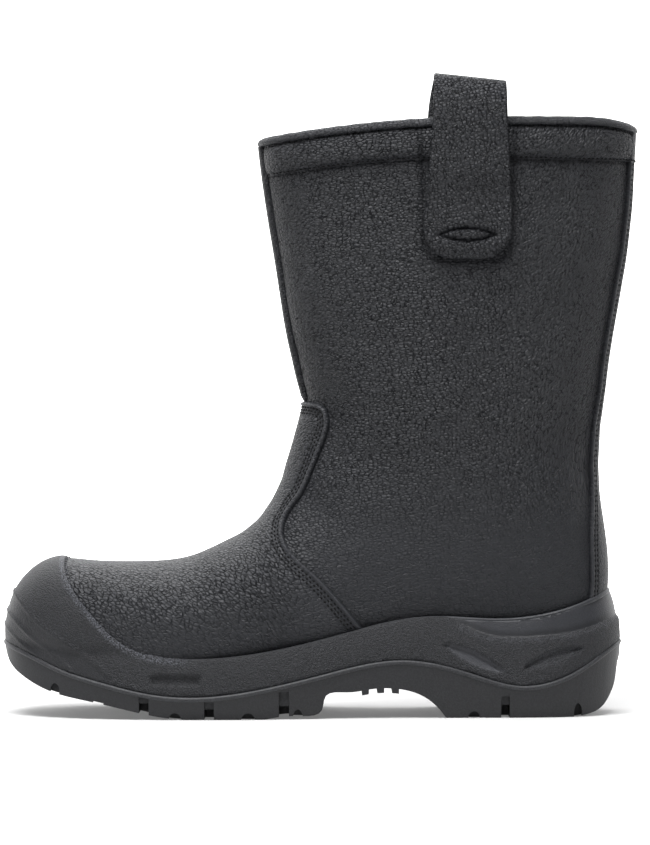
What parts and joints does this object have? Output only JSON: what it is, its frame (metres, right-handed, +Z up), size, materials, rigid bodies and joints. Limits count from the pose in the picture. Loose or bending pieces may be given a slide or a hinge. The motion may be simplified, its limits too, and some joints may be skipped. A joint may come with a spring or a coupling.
{
  "type": "winter work boot",
  "caption": "Black pull-on leather work boot for the left foot, with moulded toe bumper and heel cup, lugged sole and pull loops at the collar.",
  "frame": {"origin": "centre of the boot's outline at floor level", "axes": "-X towards the toe, +X towards the heel, -Y towards the outer side of the left foot, +Z up"},
  "size_m": [0.3135, 0.1061, 0.3132],
  "materials": {
    "outsole_rubber": "dark moulded tread, dull with a slight sheen",
    "midsole_foam": "moulded foam with a fine stippled skin",
    "leather": "black pebbled leather, soft sheen",
    "trim_leather": "black pebbled leather trim",
    "board": "matt fibre board"
  },
  "bodies": {
    "root": {"outsole": "outsole_rubber", "midsole": "midsole_foam", "insole": "board", "upper": "leather", "vamp": "leather", "back_stay": "leather", "collar_band": "trim_leather", "collar_binding": "trim_leather", "front_piping": "trim_leather", "pull_loop_outer": "trim_leather", "pull_loop_inner": "trim_leather"}
  },
  "joints": []
}
